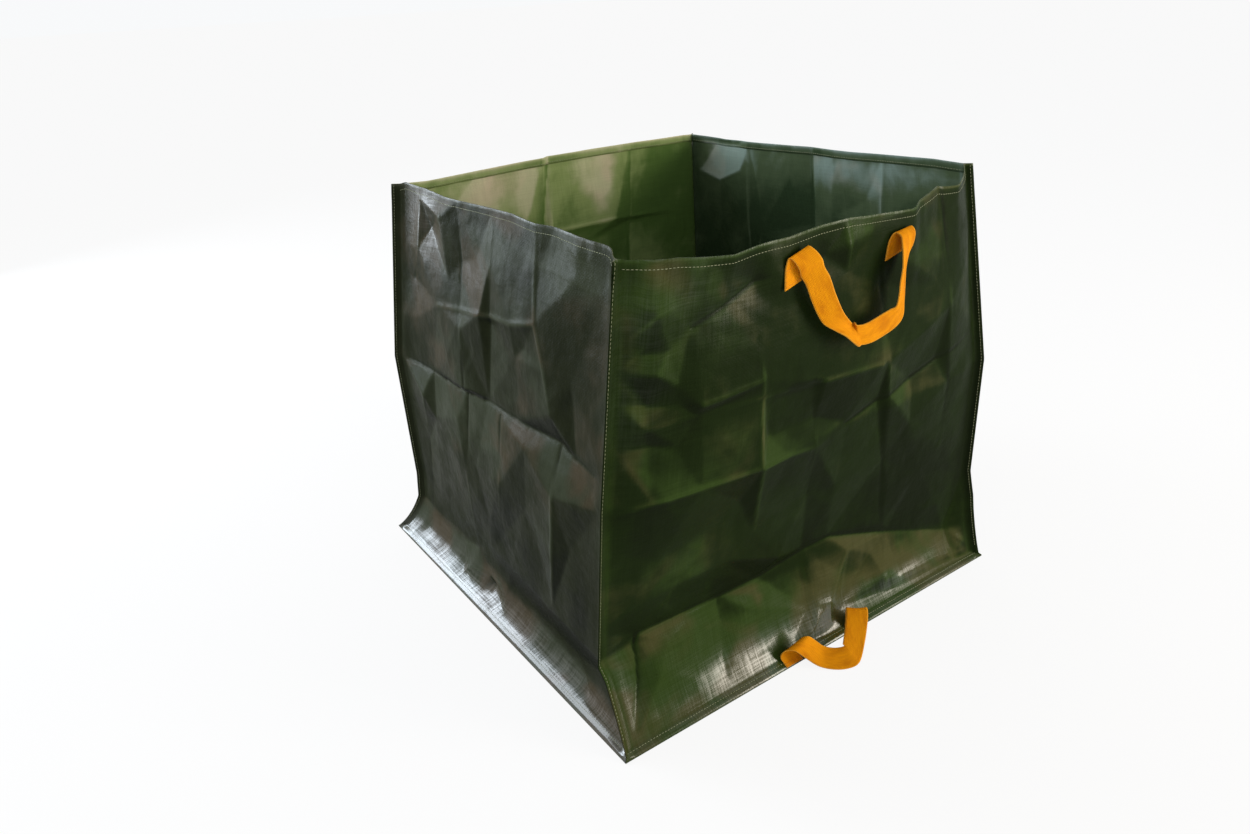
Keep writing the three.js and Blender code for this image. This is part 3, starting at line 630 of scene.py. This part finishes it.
# The look of laminated woven tape: flat tapes over and under each other, streaks along both
# sets of tapes, and dull scuffs. A tape's width is in metres.
TAPE_WIDTH = 0.0024
cloth_group, tapes, given = new_group(
    "laminated_weave", "Shader", {"Vector": "Vector", "Tape Width": "Float"},
    {"Weave Height": "Float", "Streaks": "Float", "Scuffs": "Float"})
ways = tapes.add("ShaderNodeSeparateXYZ", {0: given["Vector"]}).outputs
turns = tapes.maths("DIVIDE", math.pi, given["Tape Width"])
warp = tapes.maths("SINE", tapes.times(ways[0], turns))
weft = tapes.maths("SINE", tapes.times(ways[1], turns))
ridges = tapes.plus(tapes.maths("ABSOLUTE", warp), tapes.maths("ABSOLUTE", weft))
woven = tapes.total(tapes.times(tapes.times(warp, weft), 0.35), (ridges, 0.4))
warp_streaks = streak_noise(tapes, given["Vector"], (420.0, 14.0, 1.0), 2.0)
weft_streaks = streak_noise(tapes, given["Vector"], (14.0, 420.0, 1.0), 2.0)
streaks = tapes.times(tapes.plus(warp_streaks, weft_streaks), 0.5)
scuffs = tapes.ramp(streak_noise(tapes, given["Vector"], (26.0, 22.0, 1.0), 5.0), 0.42, 0.68)
tapes.add("NodeGroupOutput", {"Weave Height": woven, "Streaks": streaks, "Scuffs": scuffs})


def new_material(name):
    """A material, the nodes of its tree, and its shader."""
    material = bpy.data.materials.new(name)
    material.use_nodes = True
    return material, Nodes(material.node_tree), material.node_tree.nodes["Principled BSDF"]


def cloth_material(name, deep, plain, pale, tan, gloss):
    """Green laminated cloth: deepest where clean, paler and glossier where rubbed, with painted
    light and shade.
    """
    material, nodes, shader = new_material(name)
    weave = nodes.add("ShaderNodeGroup", node_tree=cloth_group)
    uv = nodes.add("ShaderNodeUVMap", uv_map="cloth").outputs[0]
    nodes.feed(weave, {"Vector": uv, "Tape Width": TAPE_WIDTH})
    streaks, scuffs = weave.outputs["Streaks"], weave.outputs["Scuffs"]
    place = nodes.add("ShaderNodeTexCoord").outputs["Object"]
    clouds = nodes.noise(place, 6.5, 3.0, 0.55, 0.5)
    blotches = nodes.noise(place, 22.0, 4.0, 0.6, 0.4)
    stains = nodes.noise(place, 8.0, 2.0, distortion=0.8)
    # This mask holds dust and wear and also painted light and shade: paler facing up, on ridges, on
    # the rim's edge and on facets tilted one way, darker in grooves and in patches of painted shade
    wear_and_shade = nodes.plus(nodes.attribute("dust_and_shading"), nodes.around_half(clouds, 0.55))
    wear_and_shade = nodes.plus(wear_and_shade, nodes.around_half(blotches, 0.5))
    colour = nodes.mix(nodes.ramp(wear_and_shade, 0.05, 0.55), deep, plain)
    rubbed_and_shading = nodes.mix(nodes.ramp(stains, 0.44, 0.6), pale, tan)
    colour = nodes.mix(nodes.ramp(wear_and_shade, 0.5, 1.0), colour, rubbed_and_shading)
    lined = nodes.times(nodes.attribute("creased"), nodes.ramp(wear_and_shade, 0.2, 0.8))
    colour = nodes.mix(nodes.times(lined, 0.6), colour, pale)
    streaked = nodes.add("ShaderNodeHueSaturation", {
        "Color": colour, "Value": nodes.total(0.72, (streaks, 0.56))})

    # The film shines along the tapes and is dull where it is scuffed
    film = nodes.total(gloss[0], (nodes.ramp(wear_and_shade, 0.4, 1.05), gloss[1] - gloss[0]))
    film = nodes.plus(film, nodes.attribute("polished"))
    film = nodes.times(film, nodes.total(0.35, (nodes.ramp(streaks, 0.38, 0.62), 1.1)))
    bright = nodes.maths("SUBTRACT", 1.0, nodes.times(scuffs, 0.5))
    film = nodes.maths("MULTIPLY", film, bright, clamp=True)

    height = nodes.total(nodes.times(weave.outputs["Weave Height"], 0.07),
                         (streaks, 0.22), (nodes.noise(place, 60.0, 3.0), 0.9))
    bump = nodes.add("ShaderNodeBump", {"Strength": 1.0, "Distance": 0.001, "Height": height})
    nodes.feed(shader, {
        "Base Color": streaked.outputs[0], "Normal": bump.outputs[0],
        "Roughness": nodes.total(0.26, (scuffs, 0.14), (streaks, 0.06)),
        "Coat Weight": film, "Coat Roughness": 0.2, "Coat IOR": 1.65, "Specular IOR Level": 0.015})
    return material


# A look is the cloth's colour where it is clean, as it mostly is, rubbed and stained, and how much
# film shines on it where it is clean and where it is rubbed. A wall has one outside, one inside.
OUTSIDE_LOOK = (
    (0.0075, 0.0115, 0.004, 1), (0.0105, 0.0185, 0.0045, 1), (0.029, 0.052, 0.010, 1),
    (0.058, 0.058, 0.019, 1), (0.0, 0.05),
)
INSIDE_LOOK = (
    (0.024, 0.042, 0.014, 1), (0.048, 0.078, 0.026, 1), (0.120, 0.140, 0.070, 1),
    (0.150, 0.130, 0.080, 1), (0.02, 0.2),
)
# The right wall's inside is the same cloth painted paler and bluer, as painted light and a painted
# cool reflection
RIGHT_INSIDE_LIT_LOOK = (
    (0.035, 0.060, 0.028, 1), (0.085, 0.120, 0.062, 1), (0.250, 0.330, 0.290, 1),
    (0.330, 0.365, 0.310, 1), (0.02, 0.3),
)
# The back wall's inside is the same cloth painted much paler and tanner, as painted light
BACK_INSIDE_LIT_LOOK = (
    (0.100, 0.175, 0.042, 1), (0.290, 0.370, 0.135, 1), (0.600, 0.600, 0.360, 1),
    (0.700, 0.600, 0.410, 1), (0.02, 0.3),
)
# The left wall's outside is the same cloth painted darker, as painted shade
LEFT_OUTSIDE_SHADED_LOOK = (
    (0.005, 0.007, 0.003, 1), (0.013, 0.016, 0.006, 1), (0.034, 0.041, 0.022, 1),
    (0.052, 0.041, 0.022, 1), (0.0, 0.02),
)
WALL_LOOKS = {
    "front_wall": (OUTSIDE_LOOK, INSIDE_LOOK),
    "right_wall": (OUTSIDE_LOOK, RIGHT_INSIDE_LIT_LOOK),
    "back_wall": (OUTSIDE_LOOK, BACK_INSIDE_LIT_LOOK),
    "left_wall": (LEFT_OUTSIDE_SHADED_LOOK, INSIDE_LOOK),
}
FIRST_WALL_SEED = 40
wall_grids = {}
for number, (name, wall) in enumerate(WALLS.items()):
    grid, first_row, hem_rows, tone = wall_grid(wall, FIRST_WALL_SEED + number)
    wall_grids[name] = (grid, first_row, hem_rows)
    masks = wear(wall, grid, first_row, hem_rows, tone)
    piece = sheet_mesh(name + "_cloth", grid, CLOTH_THICKNESS, masks)

    # Past the top of the hem's fold, the sheet's outer face is seen from inside the bag
    columns = grid.shape[1] - 1
    outer_faces = np.arange((len(grid) - 1) * columns)
    materials = np.zeros(len(piece.data.polygons), int)
    piece.data.polygons.foreach_get("material_index", materials)
    top_of_fold = first_row + WALL_ROWS + len(FOLD_ANGLES) // 2 - 1
    materials[:len(outer_faces)] = outer_faces // columns >= top_of_fold
    piece.data.polygons.foreach_set("material_index", materials)
    for side, look in zip(("_outside", "_inside"), WALL_LOOKS[name]):
        piece.data.materials.append(cloth_material(name + side, *look))
    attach(piece, "root")
    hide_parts(name)

# ---- Base panel --------------------------------------------------------------------------------
# One square sheet of the same cloth. It lies on the ground, and its allowance is sewn under those
# of the walls all round.
BASE_POINTS, BASE_LEVEL, BASE_SEED = 120, 0.4, 7
RIPPLES, RIPPLE_RISE, RIPPLE_START = (70, 1.0), 1.0, (4, 40)
shares = np.linspace(-1, 1, BASE_POINTS)
x, y = np.meshgrid(shares * BASE_SIDE / 2, shares * BASE_SIDE / 2)
along = (shares + 1) * BASE_SIDE / 2
scattered = crumple(BASE_SIDE, BASE_SIDE, *RIPPLES, np.random.default_rng(BASE_SEED))
ripple = facets(scattered, along, along, 1)
from_edge = np.minimum(SEAM_HALF - np.abs(x), SEAM_HALF - np.abs(y))
lift = (ripple + RIPPLE_RISE) * smooth(from_edge, *RIPPLE_START)
on_allowance, inside = 1 + from_edge / ALLOWANCE, 1 - smooth(from_edge, 0, LIFT_FALL)
lift += (CORNER_LIFT - 1) * np.where(from_edge < 0, on_allowance, inside)
half, none = np.full(x.shape, 0.5), np.zeros(x.shape)
grid = np.dstack([x, y, BASE_LEVEL + np.maximum(0, lift)])
masks = {"dust_and_shading": (half, half), "creased": (none, none), "polished": (none, none)}
base = sheet_mesh("base_panel_cloth", grid, CLOTH_THICKNESS, masks)
for side in ("_inside", "_underside"):
    base.data.materials.append(cloth_material("base_panel" + side, *INSIDE_LOOK[:4], (0.02, 0.3)))
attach(base, "root")
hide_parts("base_panel")

# ---- Sewing thread -----------------------------------------------------------------------------
# Rows of pale olive stitches hold the hem, the four fins and the base seam. Each stitch is a short
# tight loop of thread that lies on the cloth. Its pitch, length and radius are metres.
CLOTH_STITCH, HANDLE_STITCH = (0.0045, 0.0038, 0.00035), (0.003, 0.0026, 0.0003)
THREAD_STAND = 0.15

stitch_tree, sewing, given = new_group(
    "stitch_row", "Geometry",
    {"Geometry": "Geometry", "Pitch": "Float", "Stitch Length": "Float", "Thread Radius": "Float",
     "Thread": "Material"},
    {"Geometry": "Geometry"})
line = sewing.add("GeometryNodeMeshToCurve", {"Mesh": given["Geometry"]})
spaced = sewing.add("GeometryNodeResampleCurve",
                    {"Curve": line.outputs[0], "Length": given["Pitch"]}, mode="LENGTH")
loop = sewing.add("GeometryNodeMeshUVSphere", {"Segments": 6, "Rings": 4, "Radius": 1.0})
half_length = sewing.times(given["Stitch Length"], 0.5)
size = sewing.add("ShaderNodeCombineXYZ", {
    "X": half_length, "Y": given["Thread Radius"], "Z": given["Thread Radius"]})
stitch = sewing.add("GeometryNodeTransform", {
    "Geometry": loop.outputs["Mesh"], "Scale": size.outputs[0]})
tangent = sewing.add("GeometryNodeInputTangent")
turned = sewing.add("FunctionNodeAlignRotationToVector", {"Vector": tangent.outputs[0]}, axis="X")
placed = sewing.add("GeometryNodeInstanceOnPoints", {
    "Points": spaced.outputs[0], "Instance": stitch.outputs[0], "Rotation": turned.outputs[0]})
real = sewing.add("GeometryNodeRealizeInstances", {"Geometry": placed.outputs[0]})
dressed = sewing.add("GeometryNodeSetMaterial", {
    "Geometry": real.outputs[0], "Material": given["Thread"]})
sewing.add("NodeGroupOutput", {"Geometry": dressed.outputs[0]})


def thread_material(name, colour):
    material, nodes, shader = new_material(name)
    twist = nodes.noise(nodes.add("ShaderNodeTexCoord").outputs["Object"], 900.0, 2.0)
    darker = (colour[0] * 0.6, colour[1] * 0.6, colour[2] * 0.6, 1)
    bump = nodes.add("ShaderNodeBump", {"Strength": 0.5, "Distance": 0.0002, "Height": twist})
    nodes.feed(shader, {"Base Color": nodes.mix(twist, darker, colour), "Roughness": 0.6,
                        "Normal": bump.outputs[0]})
    return material


def stitches(name, lines, material, pitch, length, radius):
    """A piece holding a stitch every pitch along each line of points in millimetres."""
    points, edges = [], []
    for row in lines:
        start = len(points)
        points.extend((np.asarray(row) / 1000).tolist())
        edges.extend((start + k, start + k + 1) for k in range(len(row) - 1))
    mesh = bpy.data.meshes.new(name + "_path")
    mesh.from_pydata(points, edges, [])
    path = add_object(name + "_path", mesh)
    modifier = path.modifiers.new("stitches", "NODES")
    modifier.node_group = stitch_tree
    values = {"Pitch": pitch, "Stitch Length": length, "Thread Radius": radius, "Thread": material}
    for item in stitch_tree.interface.items_tree:
        if item.in_out == "INPUT" and item.name in values:
            modifier[item.identifier] = values[item.name]
    evaluated = path.evaluated_get(bpy.context.evaluated_depsgraph_get())
    sewn = bpy.data.meshes.new_from_object(evaluated)
    bpy.data.objects.remove(path)
    sewn.name = name
    piece = add_object(name, sewn)
    sewn.polygons.foreach_set("use_smooth", [True] * len(sewn.polygons))
    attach(piece, "root")
    return piece


cloth_thread = thread_material("olive_thread", (0.36, 0.38, 0.22, 1))
lines = {"hem_stitches": [], "fin_stitches": [], "base_seam_stitches": []}
for grid, first_row, hem_rows in wall_grids.values():
    normal, _ = grid_normals(grid)
    on_face = grid + normal * (CLOTH_THICKNESS / 2 + THREAD_STAND)
    lines["hem_stitches"] += [on_face[first_row + hem_rows[-2], 4:-4], on_face[-2, 4:-4]]
    for column in (1, -2):
        lines["fin_stitches"].append(on_face[first_row + 6:first_row + WALL_ROWS - 1, column])
    lines["base_seam_stitches"].append(on_face[first_row - 1, 3:-3])
for name, rows in lines.items():
    stitches(name, rows, cloth_thread, *CLOTH_STITCH)

# ---- Carry handles -----------------------------------------------------------------------------
# Flat orange webbing, woven from thick matt yarn. Each end is sewn to the outside of the wall with
# its cut end down; the strap rises, folds over and hangs in a loop that twists once.
WEBBING_WIDTH, WEBBING_THICKNESS, SEAT_GAP, WEBBING_LIFT = 30.0, 1.3, 0.5, 0.8
STRAP_STEPS, STRAP_COLUMNS = 9, 15
# The pitch of the yarns across and along in metres, and where the pale selvedge starts and ends
YARN_ACROSS, YARN_ALONG, SELVEDGE = 0.0017, 0.0022, (1.2, 0.5)
CARRY_SPAN, CARRY_DROP, CARRY_BELOW_MOUTH, CARRY_OFF_CENTRE = 167.0, 117.0, 18.0, 4.0
PATCH_TOP, PATCH_BOTTOM = 10.0, 37.0


def between(t, start, end, a, b):
    return (end - t) / (end - start) * a + (t - start) / (end - start) * b


def spline(points, steps):
    """A centripetal curve through points, with its samples spread evenly between them."""
    points = np.asarray(points, float)
    ends = [2 * points[0] - points[1], *points, 2 * points[-1] - points[-2]]
    made = []
    for k in range(1, len(ends) - 2):
        near = ends[k - 1:k + 3]
        gaps = [max(1e-4, np.linalg.norm(b - a)) ** 0.5 for a, b in zip(near, near[1:])]
        knots = np.cumsum([0, *gaps])
        for t in np.linspace(knots[1], knots[2], steps, endpoint=False):
            firsts = [between(t, *knots[i:i + 2], *near[i:i + 2]) for i in range(3)]
            seconds = [between(t, *knots[i:i + 3:2], *firsts[i:i + 2]) for i in range(2)]
            made.append(between(t, *knots[1:3], *seconds))
    return np.array([*made, points[-1]])


def webbing_material():
    material, nodes, shader = new_material("orange_webbing")
    uv = nodes.add("ShaderNodeUVMap", uv_map="cloth").outputs[0]
    ways = nodes.add("ShaderNodeSeparateXYZ", {0: uv}).outputs
    across = nodes.maths("SINE", nodes.times(ways[0], math.tau / YARN_ACROSS))
    turn = nodes.times(ways[1], math.tau / YARN_ALONG)
    along = nodes.maths("SINE", nodes.total(turn, (across, 0.9)))
    weave = nodes.times(nodes.plus(across, along), 0.25)
    yarn = streak_noise(nodes, uv, (900.0, 60.0, 1.0), 2.0)
    tone = nodes.total(nodes.times(weave, 0.35), (yarn, 0.6))
    colour = nodes.mix(nodes.ramp(tone, -0.1, 0.62), (0.62, 0.19, 0.003, 1), (0.86, 0.34, 0.004, 1))
    grime = nodes.ramp(streak_noise(nodes, uv, (45.0, 24.0, 1.0), 3.0), 0.42, 0.7)
    colour = nodes.mix(nodes.times(grime, 0.6), colour, (0.46, 0.125, 0.002, 1))
    from_middle = nodes.maths("SUBTRACT", ways[0], WEBBING_WIDTH / 2000)
    edge = [(WEBBING_WIDTH / 2 - inset) / 1000 for inset in SELVEDGE]
    selvedge = nodes.ramp(nodes.maths("ABSOLUTE", from_middle), *edge)
    colour = nodes.mix(nodes.times(selvedge, 0.45), colour, (0.9, 0.46, 0.07, 1))
    height = nodes.total(weave, (yarn, 0.5))
    bump = nodes.add("ShaderNodeBump", {"Strength": 0.7, "Distance": 0.0004, "Height": height})
    nodes.feed(shader, {
        "Base Color": colour, "Normal": bump.outputs[0], "Specular IOR Level": 0.05,
        "Roughness": nodes.total(0.66, (yarn, 0.2))})
    return material


webbing = webbing_material()
webbing_thread = thread_material("orange_thread", (0.85, 0.30, 0.01, 1))


def strap(name, stations, node):
    """A strap through stations, each a middle point and the direction across the strap."""
    middles, acrosses = (spline(rows, STRAP_STEPS) for rows in zip(*stations))
    acrosses /= np.linalg.norm(acrosses, axis=1, keepdims=True)
    shares = np.linspace(-0.5, 0.5, STRAP_COLUMNS)
    grid = middles[:, None] + acrosses[:, None] * (shares * WEBBING_WIDTH)[:, None]
    piece = sheet_mesh(name, grid, WEBBING_THICKNESS)
    piece.data.materials.append(webbing)
    piece.data.materials.append(webbing)
    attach(piece, "root")
    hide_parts(node)
    return grid


def carry_stations(wall, route):
    """A route's places and directions, measured from a wall's face with its bow and slump."""
    start, end = wall["corners"]
    made = []
    for span_share, drop_share, out, across in route:
        z = BAG_HEIGHT - CARRY_BELOW_MOUTH - drop_share * CARRY_DROP
        width = np.linalg.norm(corner_at(start, np.array(z)) - corner_at(end, np.array(z)))
        share = 0.5 + (CARRY_OFF_CENTRE + span_share * CARRY_SPAN / 2) / width
        shares, heights = np.array([share - 0.01, share, share + 0.01]), np.array([z - 1, z, z + 1])
        near, _ = wall_shape(wall, shares, heights)
        facing = np.cross(near[1, 2] - near[1, 0], near[2, 1] - near[0, 1])
        facing /= np.linalg.norm(facing)
        sideways = np.cross([0, 0, 1], facing)
        sideways /= np.linalg.norm(sideways)
        rising = np.cross(facing, sideways)
        direction = sideways * across[0] + rising * across[1] + facing * across[2]
        made.append((near[1, 1] + facing * out, direction / np.linalg.norm(direction)))
    return made


# The route of a carry strap: the share of half its span sideways, the share of its drop, how far
# it stands off the wall, and the direction across it as sideways, upwards and outwards
SEATED = CLOTH_THICKNESS / 2 + SEAT_GAP + WEBBING_THICKNESS / 2
SEWN_END, SEWN_TOP = PATCH_BOTTOM / CARRY_DROP, PATCH_TOP / CARRY_DROP
CARRY_ROUTE = [
    (-1.05, SEWN_END, SEATED, (1, 0.25, 0)),
    (-1.05, SEWN_TOP, SEATED + WEBBING_LIFT, (1, 0.25, 0)),
    (-1.03, 0, 6, (1, 0.3, 0.1)),
    (-0.98, 0.03, 10, (1, 0.3, 0.2)),
    (-0.89, 0.13, 14, (0.92, 0.3, 0.35)),
    (-0.83, 0.21, 13, (0.92, 0.25, 0.4)),
    (-0.76, 0.3, 15.5, (0.92, 0.2, 0.4)),
    (-0.63, 0.5, 17, (0.92, 0.2, 0.4)),
    (-0.43, 0.73, 19, (0.92, 0.2, 0.3)),
    (-0.24, 0.84, 20, (0.95, 0.1, -0.05)),
    (-0.1, 0.905, 20.5, (0.85, 0.22, -0.45)),
    (0.02, 0.965, 21.5, (0.42, 0.7, -0.55)),
    (0.12, 1, 21, (-0.35, 0.92, 0)),
    (0.31, 1.01, 22, (-0.42, 0.91, 0)),
    (0.63, 0.97, 22, (-0.4, 0.92, 0)),
    (0.84, 0.93, 22, (-0.56, 0.83, 0.03)),
    (0.97, 0.88, 22, (-0.72, 0.6, 0.2)),
    (0.99, 0.74, 22, (-0.78, 0.45, 0.35)),
    (1, 0.56, 21, (-0.85, 0.25, 0.45)),
    (1.04, 0.42, 19, (-0.82, 0.2, 0.5)),
    (1.1, 0.27, 16, (-0.85, 0.2, 0.4)),
    (1.17, 0.17, 13, (-0.95, 0.15, 0.2)),
    (1.2, 0.08, 10, (-1, 0, 0.1)),
    (1.17, 0.04, 5, (-1, -0.1, 0)),
    (1.1, SEWN_TOP, SEATED + WEBBING_LIFT, (-1, -0.25, 0)),
    (1.03, SEWN_END, SEATED, (-1, -0.25, 0)),
]


def patch_lines(grid, rows):
    """Stitches round each of a strap's two sewn ends, on both faces, between two of its rows."""
    normal, _ = grid_normals(grid)
    stand = WEBBING_THICKNESS / 2 + 0.1
    made = []
    for first, last in (rows, [len(grid) - 1 - row for row in rows[::-1]]):
        for side in (grid + normal * stand, grid - normal * stand):
            made += [side[first, 1:-1], side[last, 1:-1]]
            made += [side[first:last + 1, 1], side[first:last + 1, -2]]
    return made


CARRY_PATCH_ROWS = (1, 7)
handle_lines = []
for side in ("front", "back"):
    route = carry_stations(WALLS[side + "_wall"], CARRY_ROUTE)
    grid = strap(side + "_carry_strap", route, side + "_carry_handle")
    handle_lines += patch_lines(grid, CARRY_PATCH_ROWS)

# ---- Tipping handle ----------------------------------------------------------------------------
# A shorter strap of the same webbing, sewn down at both ends on the front wall's base seam. It
# rises against the foot, rolls forwards onto the ground and stands up in an arch on its way back.
TIPPING_SPAN, TIPPING_OFF_CENTRE, TIPPING_LENGTH = 122.0, -4.0, 245.0
TIPPING_PATCH_ROWS = (2, 10)


def on_seam(out):
    """The strap's height where it lies on the sloping allowance, so far out from the seam."""
    slope = WALLS["front_wall"]["lift"] * (1 - out / ALLOWANCE)
    return SEAM_HEIGHT + slope + CLOTH_THICKNESS / 2 + SEAT_GAP + WEBBING_THICKNESS / 2


# Its route: the share of half its span, how far out from the seam, the height, and the direction
# across it
TIPPING_ROUTE = [
    (-1, 12, on_seam(12), (1, 0, 0)),
    (-1, 8, on_seam(8), (1, 0, 0)),
    (-1, 5, on_seam(5) + WEBBING_LIFT, (1, 0, 0)),
    (-1.04, 3, 14, (1, -0.05, 0.1)),
    (-1.05, 4, 22, (1, -0.1, 0.15)),
    (-0.98, 7, 31, (1, 0, 0.25)),
    (-0.85, 14, 33, (0.95, 0.1, 0.3)),
    (-0.7, 20, 24, (0.9, 0.25, 0.38)),
    (-0.5, 32, 12, (0.72, 0.5, 0.5)),
    (-0.28, 45, 9.4, (0.5, 0.67, 0.55)),
    (-0.08, 53, 10.6, (0.25, 0.78, 0.58)),
    (0.03, 55, 12.5, (0, 0.85, 0.53)),
    (0.12, 52, 16, (-0.38, 0.84, 0.42)),
    (0.4, 41, 30, (-0.5, 0.82, 0.27)),
    (0.66, 29, 41, (-0.55, 0.82, 0.15)),
    (0.82, 20, 45, (-0.7, 0.7, 0.1)),
    (0.95, 11, 36, (-0.9, 0.4, 0)),
    (1, 6, 20, (-1, 0.1, 0)),
    (1, 5, on_seam(5) + WEBBING_LIFT, (-1, 0, 0)),
    (1, 8, on_seam(8), (-1, 0, 0)),
    (1, 12, on_seam(12), (-1, 0, 0)),
]
stations = []
for share, out, z, across in TIPPING_ROUTE:
    place = np.array([TIPPING_OFF_CENTRE + share * TIPPING_SPAN / 2, -SEAM_HALF - out, z])
    stations.append((place, np.array(across, float)))
grid = strap("tipping_strap", stations, "tipping_handle")
handle_lines += patch_lines(grid, TIPPING_PATCH_ROWS)
stitches("handle_stitches", handle_lines, webbing_thread, *HANDLE_STITCH)

# ---- Floor, light and camera -------------------------------------------------------------------
# A pale floor that runs on out of view, soft light from all round with two tall windows and a
# skylight that glint on the cloth, and the photograph's viewpoint. Lengths are metres.
FLOOR_REACH, FLOOR_LEVEL, FLOOR_SEEN = 60.0, -0.0004, 0.88
ROOM_LIGHT, ROOM_SEEN = 0.6, 0.36


def seen_directly(nodes):
    """1 on rays from the camera, also in a mirror or through glass, and 0 on all others."""
    rays = nodes.add("ShaderNodeLightPath").outputs
    mirrored = nodes.maths("MAXIMUM", rays["Is Camera Ray"], rays["Is Glossy Ray"])
    return nodes.maths("MAXIMUM", mirrored, rays["Is Transmission Ray"])


outline = ((-1, -1), (1, -1), (1, 1), (-1, 1))
floor_mesh = bpy.data.meshes.new("floor")
floor_mesh.from_pydata([(x * FLOOR_REACH, y * FLOOR_REACH, FLOOR_LEVEL) for x, y in outline],
                       [], [(0, 1, 2, 3)])
floor = add_object("floor", floor_mesh)
floor_material = bpy.data.materials.new("pale_floor")
floor_material.use_nodes = True
floor_material.node_tree.nodes.clear()
nodes = Nodes(floor_material.node_tree)
matt = nodes.add("ShaderNodeBsdfDiffuse", {"Color": (0.92, 0.92, 0.92, 1)})
glow = nodes.add("ShaderNodeEmission", {"Color": (1, 1, 1, 1), "Strength": 1.0})
share = nodes.times(seen_directly(nodes), FLOOR_SEEN)
blend = nodes.add("ShaderNodeMixShader", {"Fac": share, 1: matt.outputs[0], 2: glow.outputs[0]})
nodes.add("ShaderNodeOutputMaterial", {"Surface": blend.outputs[0]})
floor.data.materials.append(floor_material)

world = bpy.data.worlds.new("room")
bpy.context.scene.world = world
world.use_nodes = True
nodes = Nodes(world.node_tree)
strength = nodes.total(ROOM_LIGHT, (seen_directly(nodes), ROOM_SEEN))
background = world.node_tree.nodes["Background"]
nodes.feed(background, {"Color": (0.98, 0.99, 1.0, 1), "Strength": strength})


def lamp(name, place, target, size, power, colour):
    data = bpy.data.lights.new(name, "AREA")
    data.shape, data.size, data.size_y = "RECTANGLE", size[0], size[1]
    data.energy, data.color = power, colour
    made = add_object(name, data)
    made.location = place
    made.rotation_euler = (Vector(target) - Vector(place)).to_track_quat("-Z", "Y").to_euler()


lamp("warm_window", (1.76, -2.43, 0.95), (0, 0, 0.75), (1.2, 1.7), 62, (1.0, 0.91, 0.78))
lamp("cool_window", (-1.5, 2.6, 0.95), (0, 0, 0.75), (1.1, 1.7), 62, (0.80, 0.90, 1.0))
lamp("skylight", (-1.75, 1.95, 1.85), (-0.35, -0.1, 0), (1.1, 1.1), 22, (0.84, 0.92, 1.0))

YAW, PITCH, ROLL = 0.594463836, 0.440912782, -0.0547014771
CAMERA_PLACE = (-0.79011115, -1.04045946, 0.85071141)
FOCAL_LENGTH, FRAME_WIDTH, SENSOR_WIDTH = 910.496, 1250, 36
ahead = Vector((math.sin(YAW) * math.cos(PITCH), math.cos(YAW) * math.cos(PITCH), -math.sin(PITCH)))
level = Vector((math.cos(YAW), -math.sin(YAW), 0))
above = level.cross(ahead)
across = math.cos(ROLL) * level + math.sin(ROLL) * above
upward = -math.sin(ROLL) * level + math.cos(ROLL) * above
camera_data = bpy.data.cameras.new("camera")
camera_data.sensor_width = SENSOR_WIDTH
camera_data.lens = FOCAL_LENGTH / FRAME_WIDTH * SENSOR_WIDTH
camera_data.clip_end = 200
camera = add_object("camera", camera_data)
camera.matrix_world = Matrix((*zip(across, upward, -ahead, CAMERA_PLACE), (0, 0, 0, 1)))
bpy.context.scene.camera = camera
bpy.context.scene.view_settings.view_transform = "Standard"
